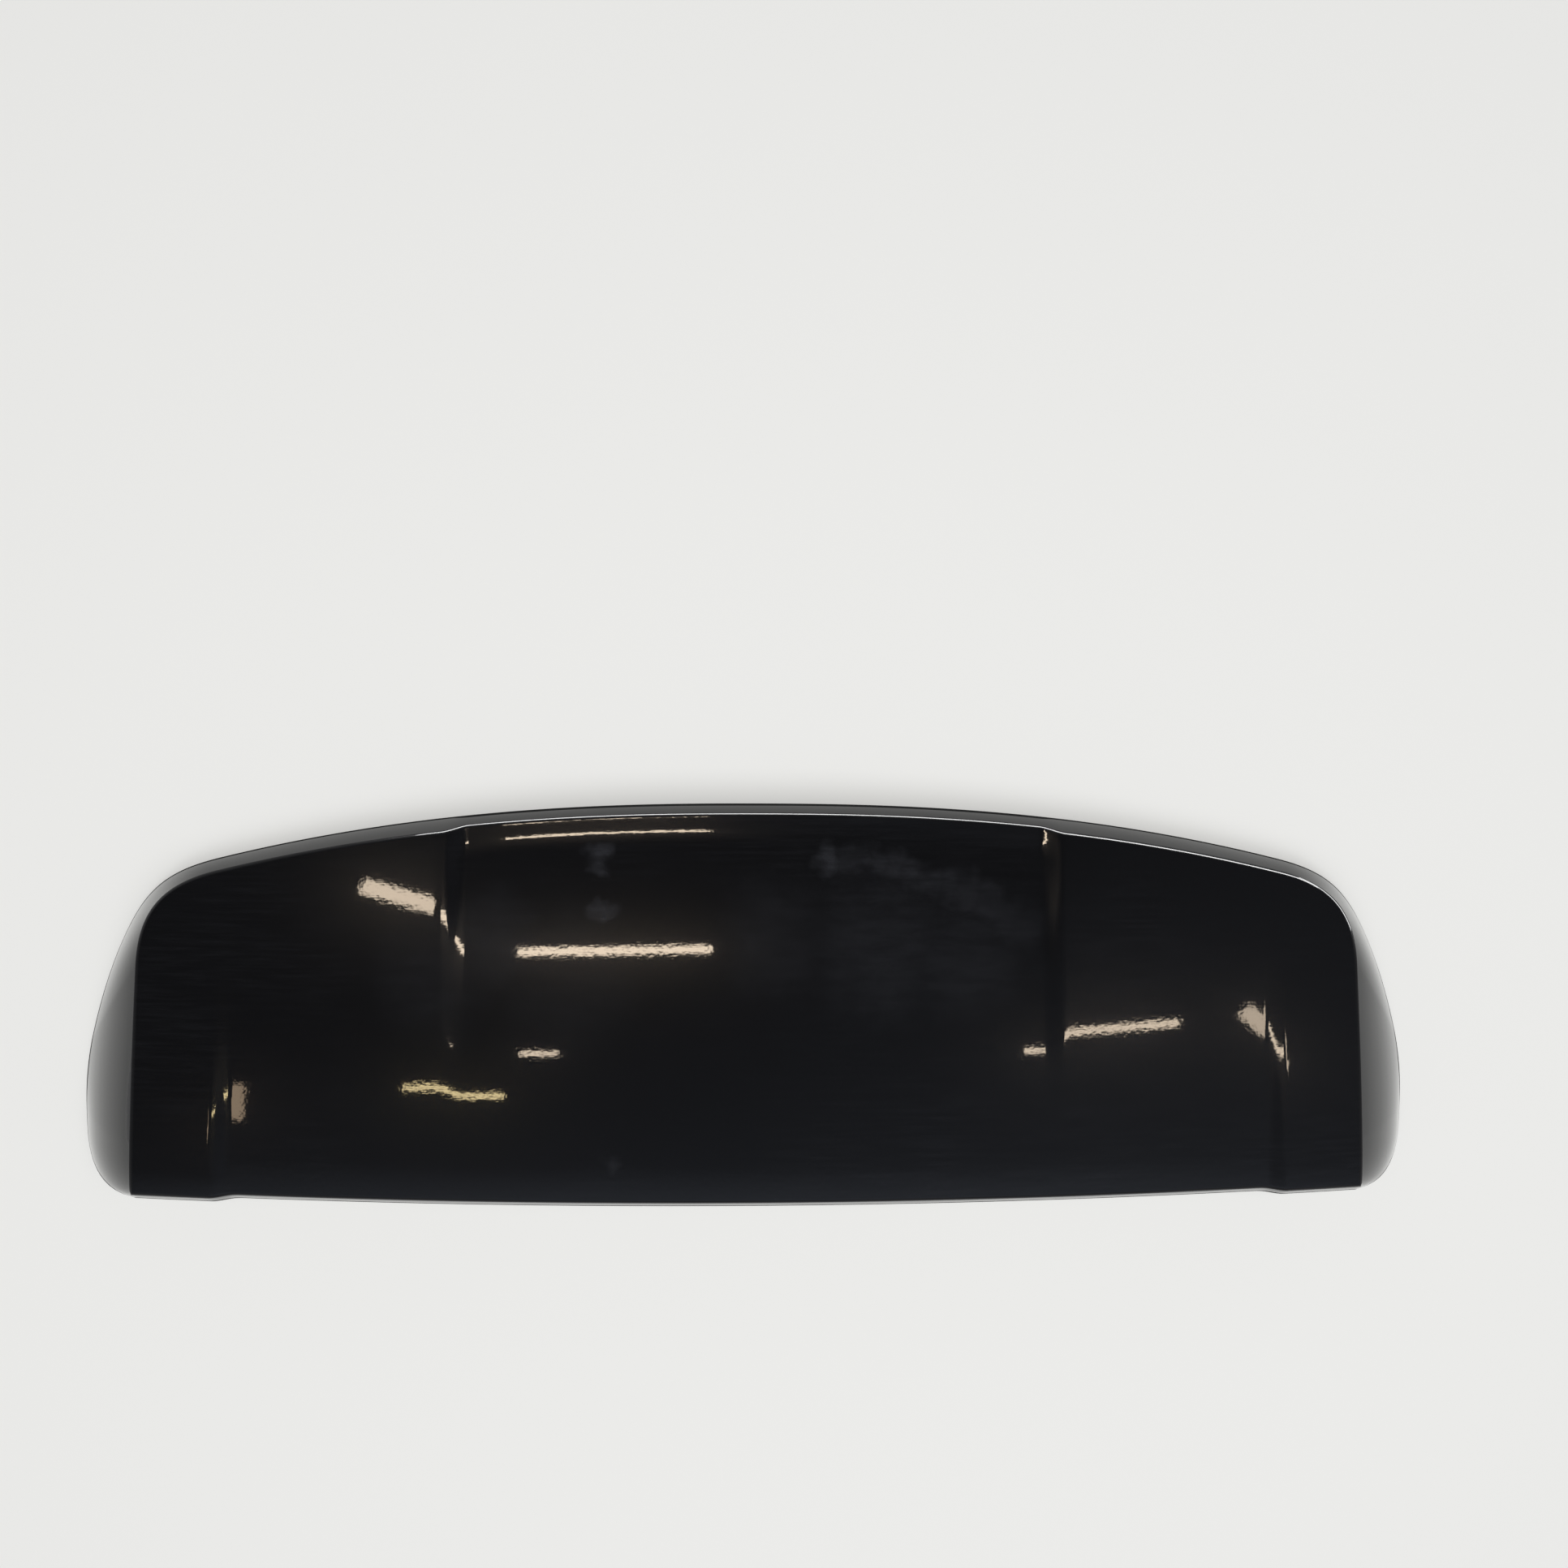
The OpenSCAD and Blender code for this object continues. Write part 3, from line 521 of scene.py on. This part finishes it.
def black_paint():
    material, tree, shader = node_material("black_paint")
    coords = add(tree, "ShaderNodeTexCoord").outputs["Object"]
    wipes = spread(tree, noise(tree, 3.0, 5.0, 0.65, (5, 110, 40)), 0.42, 0.72, 0, 0.4)
    patches = spread(tree, noise(tree, 5.0, 2.0, 0.5), 0.42, 0.68, 0, 1)
    haze = times(tree, wipes, patches)
    # The marks' outlines are pushed about by a noise, so that none is round
    push = add(tree, "ShaderNodeTexNoise", {"Vector": coords, "Scale": 45.0, "Detail": 2.0}).outputs["Color"]
    push = add(tree, "ShaderNodeVectorMath", {0: push, 1: (0.5, 0.5, 0.5)}, operation="SUBTRACT").outputs[0]
    push = add(tree, "ShaderNodeVectorMath", {0: push, "Scale": 0.034}, operation="SCALE").outputs[0]
    uneven = add(tree, "ShaderNodeVectorMath", {0: coords, 1: push}, operation="ADD").outputs[0]
    for (x, y), radius, strength in MARKS_MM:
        at = add(tree, "ShaderNodeVectorMath", {0: uneven, 1: (x * MM, y * MM, 0)}, operation="SUBTRACT")
        flat = add(tree, "ShaderNodeVectorMath", {0: at.outputs[0], 1: (1, 1, 0)}, operation="MULTIPLY")
        reach = add(tree, "ShaderNodeVectorMath", {0: flat.outputs[0]}, operation="LENGTH").outputs["Value"]
        fade = {"Value": reach, "From Min": 0.2 * radius * MM, "From Max": 1.3 * radius * MM,
                "To Min": 2.2 * strength, "To Max": 0}
        spot = add(tree, "ShaderNodeMapRange", fade, interpolation_type="SMOOTHSTEP").outputs["Result"]
        haze = larger(tree, haze, spot)
    haze = times(tree, haze, spread(tree, noise(tree, 30, 4.0, 0.6, (1, 5, 1)), 0.35, 0.62, 0.5, 1))
    haze = spread(tree, haze, 0, 2.5, 0, 1)
    colour = two_colours(tree, haze, (0.0024, 0.0025, 0.0032), (0.027, 0.028, 0.033))
    tree.links.new(colour, shader.inputs["Base Color"])
    shader.inputs["Roughness"].default_value = 0.2
    shader.inputs["Specular IOR Level"].default_value = 0.13
    shader.inputs["Coat Weight"].default_value = 1.0
    shader.inputs["Coat Roughness"].default_value = 0.028
    shader.inputs["Coat IOR"].default_value = 1.5
    peel = bumped(tree, noise(tree, 250, 1.0, 0.4), 0.000013)
    wiped = bumped(tree, noise(tree, 6.0, 3.0, 0.6, (12, 110, 60)), 0.000005, 1.0, peel)
    tree.links.new(wiped, shader.inputs["Coat Normal"])
    return material


def moulded_plastic():
    material, tree, shader = node_material("moulded_plastic")
    cells = add(tree, "ShaderNodeTexVoronoi", {"Vector": placed(tree, (1, 1, 1)), "Scale": 900.0},
                feature="SMOOTH_F1").outputs["Distance"]
    flow = noise(tree, 14, 4.0, 0.6)
    colour = two_colours(tree, flow, (0.016, 0.016, 0.017), (0.026, 0.026, 0.027))
    tree.links.new(colour, shader.inputs["Base Color"])
    tree.links.new(spread(tree, flow, 0.3, 0.7, 0.48, 0.62), shader.inputs["Roughness"])
    shader.inputs["Specular IOR Level"].default_value = 0.4
    tree.links.new(bumped(tree, cells, 0.0001, 0.8), shader.inputs["Normal"])
    return material


def metal(name, dark, light, rough_low, rough_high, stretch):
    material, tree, shader = node_material(name)
    grain = noise(tree, 40, 5.0, 0.6, stretch)
    colour = two_colours(tree, spread(tree, grain, 0.3, 0.7, 0, 1), dark, light)
    tree.links.new(colour, shader.inputs["Base Color"])
    tree.links.new(spread(tree, grain, 0.3, 0.7, rough_low, rough_high), shader.inputs["Roughness"])
    shader.inputs["Metallic"].default_value = 1.0
    tree.links.new(bumped(tree, grain, 0.00002, 0.6), shader.inputs["Normal"])
    return material


def masked_edge():
    """The edge along the rim that was masked when the skin was painted, made darker still as painted contact
    shadow.
    """
    material, tree, shader = node_material("masked_edge")
    colour = two_colours(tree, noise(tree, 60, 3.0, 0.6), (0.004, 0.004, 0.0045), (0.009, 0.009, 0.0095))
    tree.links.new(colour, shader.inputs["Base Color"])
    shader.inputs["Roughness"].default_value = 0.7
    shader.inputs["Specular IOR Level"].default_value = 0.08
    return material


def foam():
    material, tree, shader = node_material("foam")
    pores = add(tree, "ShaderNodeTexVoronoi", {"Vector": placed(tree, (1, 1, 1)), "Scale": 1600.0},
                feature="F1").outputs["Distance"]
    colour = two_colours(tree, spread(tree, pores, 0, 0.7, 0, 1), (0.006, 0.006, 0.006), (0.03, 0.03, 0.031))
    tree.links.new(colour, shader.inputs["Base Color"])
    shader.inputs["Roughness"].default_value = 0.92
    shader.inputs["Specular IOR Level"].default_value = 0.2
    tree.links.new(bumped(tree, pores, 0.0003), shader.inputs["Normal"])
    return material


def rubber():
    material, tree, shader = node_material("rubber")
    bloom = noise(tree, 120, 4.0, 0.6)
    colour = two_colours(tree, bloom, (0.008, 0.008, 0.008), (0.022, 0.022, 0.023))
    tree.links.new(colour, shader.inputs["Base Color"])
    tree.links.new(spread(tree, bloom, 0.3, 0.7, 0.6, 0.75), shader.inputs["Roughness"])
    tree.links.new(bumped(tree, noise(tree, 1200, 2.0), 0.00004), shader.inputs["Normal"])
    return material


PAINT = black_paint()
PLASTIC = moulded_plastic()
# The rim's bare edge, its colour darkened as painted contact shadow
BARE_EDGE_SHADOW = masked_edge()
ZINC = metal("zinc_plate", (0.5, 0.5, 0.47), (0.72, 0.71, 0.66), 0.28, 0.42, (1, 1, 1))
SPRING = metal("spring_steel", (0.3, 0.3, 0.31), (0.5, 0.5, 0.52), 0.25, 0.4, (1, 12, 1))
FOAM = foam()
RUBBER = rubber()


# Pieces. Points of a node's mesh that are closer than this many millimetres are one point
WELD = 0.02


def piece(obj, nodes):
    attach(obj, "root")
    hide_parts(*nodes)
    return obj


def dressed(node, name, material, bevel, angle=32):
    """A copy of a node's mesh with its sharp edges rounded and its curved faces shaded smooth."""
    bm = bmesh.new()
    bm.from_mesh(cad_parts[node].data)
    bmesh.ops.remove_doubles(bm, verts=bm.verts, dist=WELD * MM)
    limit = math.radians(angle)
    if bevel:
        sharp = [e for e in bm.edges if len(e.link_faces) == 2 and e.calc_face_angle(0) > limit]
        bmesh.ops.bevel(bm, geom=sharp, offset=bevel * MM, segments=2, profile=0.5, affect="EDGES",
                        clamp_overlap=True)
    mesh = bpy.data.meshes.new(name)
    bm.to_mesh(mesh)
    bm.free()
    mesh.shade_smooth()
    mesh.set_sharp_from_angle(angle=limit)
    mesh.materials.append(material)
    obj = bpy.data.objects.new(name, mesh)
    bpy.context.scene.collection.objects.link(obj)
    return piece(obj, [node])


# The studs' thread in millimetres. It ends at a plain neck, and its first turn tapers
THREAD_TOP, THREAD_R, THREAD_PITCH, THREAD_DEPTH, NECK_R = 51.5, 3.0, 1.0, 0.61, 2.7
THREAD_TAPER = 0.4
THREAD_FLAT = 0.125
THREAD_CUT, THREAD_OVERLAP = 0.05, 0.1
THREAD_TURN_STEPS, THREAD_PITCH_STEPS = 28, 8


def make_stud(node):
    """A stud whose plain shaft is cut off at the neck and replaced by one with a rolled thread."""
    obj = dressed(node, node.replace("stud", "flanged_stud"), ZINC, 0.2)
    lo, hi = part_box(node)
    middle, tip = (lo + hi) / 2 / MM, lo.z / MM
    bm = bmesh.new()
    bm.from_mesh(obj.data)
    cut = (THREAD_TOP - THREAD_CUT) * MM
    bmesh.ops.delete(bm, geom=[v for v in bm.verts if v.co.z < cut], context="VERTS")
    bmesh.ops.holes_fill(bm, edges=[e for e in bm.edges if e.is_boundary])
    rows = round((THREAD_TOP - tip) / THREAD_PITCH * THREAD_PITCH_STEPS)
    z = np.linspace(tip, THREAD_TOP + THREAD_OVERLAP, rows)[:, None]
    turn = np.linspace(0, 1, THREAD_TURN_STEPS + 1)[None, :-1]
    wave = np.abs(2 * ((z / THREAD_PITCH - turn) % 1) - 1)
    r = THREAD_R - THREAD_DEPTH * np.clip((wave - THREAD_FLAT) / (1 - 2 * THREAD_FLAT), 0, 1)
    r = np.minimum(r, THREAD_R - THREAD_DEPTH - THREAD_TAPER + z - tip)
    r = mix(r, NECK_R, smooth((z - THREAD_TOP + THREAD_PITCH) / THREAD_PITCH))
    angle = 2 * math.pi * turn
    ring = np.stack([middle.x + r * np.cos(angle), middle.y + r * np.sin(angle), z + 0 * angle], -1) * MM
    verts = [[bm.verts.new(co) for co in row] for row in ring]
    for lower, upper in zip(verts[:-1], verts[1:]):
        for n in range(THREAD_TURN_STEPS):
            bm.faces.new((lower[n - 1], lower[n], upper[n], upper[n - 1]))
    bm.faces.new(verts[0][::-1])
    bm.faces.new(verts[-1])
    bmesh.ops.recalc_face_normals(bm, faces=bm.faces)
    bm.to_mesh(obj.data)
    bm.free()
    obj.data.shade_smooth()
    obj.data.set_sharp_from_angle(angle=math.radians(40))


piece(make_skin(), ["upper_shell"])
dressed("lower_shell", "inner_moulding", PLASTIC, 0, 20)
dressed("front_seal", "seal_strip", FOAM, 1.2)
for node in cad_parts:
    if node.startswith("foam_washer"):
        dressed(node, node.replace("foam_washer", "washer"), FOAM, 0.6)
    elif node.startswith("spring_clip"):
        dressed(node, node.replace("spring_", ""), SPRING, 0.12)
    elif node.startswith("bump_stop"):
        dressed(node, node.replace("bump_", ""), RUBBER, 0.5)
    elif node.startswith("stud"):
        make_stud(node)


# Floor, in metres. Where it is looked at or mirrored, part of its tone is its own, which makes the object's
# shadow pale. Further out that part grows until it is all, so that the floor passes into the background
FLOOR_HALF = 6.0
FLOOR_COLOUR = (0.84, 0.84, 0.82)
FLOOR_GLOW = 0.55
FLOOR_FADE = (1.5, 4.5)


def make_floor():
    mesh = bpy.data.meshes.new("floor")
    h = FLOOR_HALF
    mesh.from_pydata([(-h, -h, 0), (h, -h, 0), (h, h, 0), (-h, h, 0)], [], [(0, 1, 2, 3)])
    obj = bpy.data.objects.new("floor", mesh)
    bpy.context.scene.collection.objects.link(obj)
    material, tree, shader = node_material("pale_floor")
    colour = two_colours(tree, noise(tree, 0.6, 2.0), tuple(0.985 * c for c in FLOOR_COLOUR), FLOOR_COLOUR)
    tree.links.new(colour, shader.inputs["Base Color"])
    shader.inputs["Roughness"].default_value = 0.9
    shader.inputs["Specular IOR Level"].default_value = 0.1
    path = add(tree, "ShaderNodeLightPath").outputs
    seen = larger(tree, larger(tree, path["Is Camera Ray"], path["Is Glossy Ray"]), path["Is Transmission Ray"])
    reach = add(tree, "ShaderNodeVectorMath", {0: placed(tree, (1, 1, 1))}, operation="LENGTH").outputs["Value"]
    own = spread(tree, reach, *FLOOR_FADE, FLOOR_GLOW, 1)
    glow = add(tree, "ShaderNodeEmission", {"Color": (*FLOOR_COLOUR, 1), "Strength": 1.0})
    mixed = add(tree, "ShaderNodeMixShader", {0: times(tree, seen, own), 1: shader.outputs["BSDF"],
                                              2: glow.outputs["Emission"]})
    tree.links.new(mixed.outputs["Shader"], tree.nodes["Material Output"].inputs["Surface"])
    mesh.materials.append(material)


make_floor()


# Light: a world, a wide soft lamp that the paint doesn't mirror, and strips that it does. The world is pale low
# down and dark overhead, where it gets a little paler and bluer towards the front and the right, and more so past
# an edge in front
SKY_LEVELS = [(0.0, 0.60), (0.25, 0.40), (0.5, 0.15), (0.8, 0.06), (1.0, 0.05)]
SKY_RIGHT, SKY_FRONT, SKY_EXTRA, SKY_EDGE = 0.09, 0.22, 0.05, 0.30
SKY_EDGE_Y = (-0.17, -0.10)
SKY_COLOUR = (0.88, 0.98, 1.18)


def make_world():
    world = bpy.data.worlds.new("studio")
    bpy.context.scene.world = world
    world.use_nodes = True
    tree = world.node_tree
    direction = add(tree, "ShaderNodeTexCoord").outputs["Generated"]
    towards = add(tree, "ShaderNodeSeparateXYZ", {0: direction}).outputs
    ramp = add(tree, "ShaderNodeValToRGB", {"Fac": towards["Z"]})
    for n, (height, level) in enumerate(SKY_LEVELS):
        stop = ramp.color_ramp.elements[n] if n < 2 else ramp.color_ramp.elements.new(height)
        stop.position = height
        stop.color = (level, level, 1.02 * level, 1)
    aside = plus(tree, times(tree, towards["X"], SKY_RIGHT), times(tree, towards["Y"], -SKY_FRONT))
    aside = plus(tree, aside, spread(tree, towards["Y"], *SKY_EDGE_Y, SKY_EDGE, 0))
    overhead = spread(tree, towards["Z"], 0.5, 0.95, 0, 1)
    paler = times(tree, overhead, plus(tree, aside, SKY_EXTRA, use_clamp=True))
    extra = add(tree, "ShaderNodeVectorMath", {0: SKY_COLOUR, "Scale": paler}, operation="SCALE").outputs[0]
    total = add(tree, "ShaderNodeVectorMath", {0: ramp.outputs["Color"], 1: extra}, operation="ADD").outputs[0]
    colour = add(tree, "ShaderNodeMix", data_type="RGBA")
    tree.links.new(add(tree, "ShaderNodeLightPath").outputs["Is Camera Ray"], colour.inputs[0])
    tree.links.new(total, colour.inputs[6])
    colour.inputs[7].default_value = (*FLOOR_COLOUR, 1)
    tree.links.new(colour.outputs[2], tree.nodes["Background"].inputs["Color"])


def lamp(name, place, aim, size, radiance, colour=(1, 1, 1), glossy=True, diffuse=True):
    """Rectangular lamp of a given radiance. Its long side lies level."""
    data = bpy.data.lights.new(name, "AREA")
    data.shape = "RECTANGLE"
    data.size, data.size_y = size
    data.energy = radiance * math.pi * size[0] * size[1]
    data.color = colour
    obj = bpy.data.objects.new(name, data)
    bpy.context.scene.collection.objects.link(obj)
    back = (Vector(place) - Vector(aim)).normalized()
    right = Vector((0, 1, 0)).cross(back) if abs(back.z) > 0.9 else Vector((0, 0, 1)).cross(back)
    right.normalize()
    turned = Matrix((right, back.cross(right), back)).transposed().to_4x4()
    obj.matrix_world = Matrix.Translation(place) @ turned
    obj.visible_glossy = glossy
    obj.visible_diffuse = diffuse
    obj.visible_camera = False
    return obj


# Strips that the paint mirrors: the two ends of each in metres, its width, its radiance and its colour
STRIP_HEIGHT = 2.5
WARM, GOLD, AMBER = (1.0, 0.82, 0.62), (1.0, 0.80, 0.42), (1.0, 0.74, 0.50)
STRIPS = [
    ((-1.30, 0.765), (-1.02, 0.669), 0.066, 15, WARM),
    ((-0.745, 0.634), (-0.100, 0.651), 0.041, 20, WARM),
    ((-0.718, 0.128), (-0.588, 0.129), 0.020, 18, WARM),
    ((-1.10, -0.079), (-0.765, -0.068), 0.022, 17, GOLD),
    ((0.93, 0.128), (1.49, 0.168), 0.028, 16, WARM),
    ((1.74, 0.215), (1.87, 0.085), 0.075, 10, WARM),
    ((-1.688, -0.085), (-1.688, -0.235), 0.070, 5, AMBER),
]


def make_strips():
    for n, (start, end, width, radiance, colour) in enumerate(STRIPS):
        a, b = Vector((*start, STRIP_HEIGHT)), Vector((*end, STRIP_HEIGHT))
        middle, up = (a + b) / 2, Vector((0, 0, 1))
        strip = lamp(f"strip_{n}", middle, middle - up, ((b - a).length, width), radiance, colour)
        along = (b - a).normalized()
        turned = Matrix((along, up.cross(along), up)).transposed().to_4x4()
        strip.matrix_world = Matrix.Translation(middle) @ turned


make_world()
make_strips()
lamp("soft_overhead", (0.2, -0.3, 3.2), (0, 0, 0), (3.6, 3.2), 2.9, glossy=False)
lamp("rear_strip", (1.0, 3.2, 1.57), (0.3, 0, 0.1), (5.8, 0.4), 21, diffuse=False)
lamp("side_strip", (3.1, 1.5, 0.75), (0.4, 0, 0.1), (1.9, 0.5), 12, diffuse=False)


# Camera
def make_camera():
    tilt, side = CAMERA_TILT, CAMERA_SIDE
    back = Vector((math.sin(side), math.cos(side) * math.sin(tilt), math.cos(side) * math.cos(tilt)))
    aim = Vector(AIM_MM) * MM
    ahead = -back
    right = ahead.cross(Vector((0, 1, 0))).normalized()
    up = right.cross(ahead)
    c, s = math.cos(CAMERA_ROLL), math.sin(CAMERA_ROLL)
    turned_right, turned_up = c * right + s * up, c * up - s * right
    data = bpy.data.cameras.new("camera")
    data.sensor_width = SENSOR_MM
    data.lens = FOCAL_PX / IMAGE * SENSOR_MM
    data.clip_start, data.clip_end = 0.05, 60
    obj = bpy.data.objects.new("camera", data)
    bpy.context.scene.collection.objects.link(obj)
    basis = Matrix((turned_right, turned_up, back)).transposed().to_4x4()
    obj.matrix_world = Matrix.Translation(aim + back * CAMERA_DISTANCE_MM * MM) @ basis
    bpy.context.scene.camera = obj


make_camera()
bpy.context.scene.view_settings.view_transform = "Standard"
